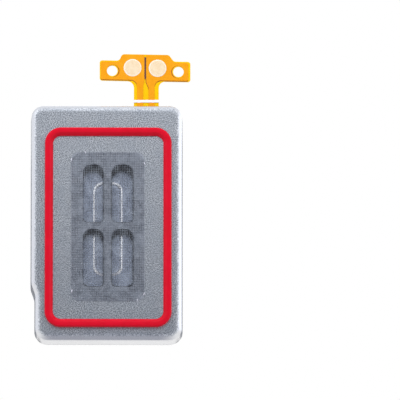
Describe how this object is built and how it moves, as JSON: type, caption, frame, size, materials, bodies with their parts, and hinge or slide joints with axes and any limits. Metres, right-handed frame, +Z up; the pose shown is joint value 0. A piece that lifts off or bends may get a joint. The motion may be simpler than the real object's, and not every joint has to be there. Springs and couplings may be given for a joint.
{
  "type": "phone loudspeaker module",
  "caption": "Flat steel loudspeaker box for a phone, with a red sealing ring, a meshed sound outlet, a rear vent and a folding flex tail with contact pads.",
  "frame": {"origin": "middle of the case's bottom wall across its width, on the plane that divides its depth in half between the front face and the rear plateau", "axes": "+Z up along the case towards the flex tail, -Y out of the sound outlet, +X to the right seen from the sound side"},
  "size_m": [0.018, 0.0049, 0.0335],
  "materials": {
    "steel": "bead blasted, satin",
    "rubber": "smooth silicone",
    "weave": "fine woven mesh",
    "glue": "clear adhesive film",
    "vent_film": "satin film",
    "membrane": "matt breathing membrane",
    "foam": "closed-cell foam with a film skin",
    "plastic": "moulded",
    "pole": "plated",
    "magnet": "nickel plated",
    "surround": "thin elastomer film",
    "dome": "laminated film",
    "coil": "enamelled wire",
    "copper": "copper under film",
    "gold": "pale gold plating",
    "film": "polyimide film",
    "coverlay": "polyimide film",
    "ink": "printed ink on film",
    "granules": "matt granules"
  },
  "bodies": {
    "module": {"front_can": "steel", "rear_cover": "steel", "front_gasket": "rubber", "acoustic_mesh": "weave", "mesh_adhesive": "glue", "vent_film": "vent_film", "vent_membrane": "membrane", "basket_seal": "foam", "speaker_front_frame": "pole", "speaker_basket": "plastic", "diaphragm_surround": "surround", "outer_pole_ring": "pole", "centre_pole_plate": "pole", "centre_magnet": "magnet", "outer_magnet_left": "magnet", "outer_magnet_right": "magnet", "outer_magnet_lower": "magnet", "outer_magnet_upper": "magnet", "yoke_plate": "pole", "terminal_left": "gold", "terminal_right": "gold", "coil_lead_left": "copper", "coil_lead_right": "copper", "granule_pack_upper": "granules", "granule_pack_lower": "granules", "granule_screen_upper": "weave", "granule_screen_lower": "weave", "flex_root": "film", "flex_fold": "ink"},
    "diaphragm": {"diaphragm_dome": "dome", "voice_coil": "coil"},
    "flex_head": {"flex_tail": "film", "flex_coverlay": "coverlay", "trace_left": "copper", "trace_right": "copper", "contact_pad_left": "gold", "contact_pad_right": "gold", "head_stiffener": "film", "backing_foam": "foam"}
  },
  "joints": [
    {"name": "diaphragm_travel", "type": "slide", "parent": "module", "child": "diaphragm", "axis": [0, -1, 0], "range_m": [-0.0003, 0.0003], "stiffness_N_per_m": 300},
    {"name": "flex_fold_hinge", "type": "hinge", "parent": "module", "child": "flex_head", "pos_m": [0.00445, 0.0005, 0.02806], "axis": [1, 0, 0], "range_deg": [-90, 90], "stiffness_Nm_per_rad": 0.0002}
  ]
}
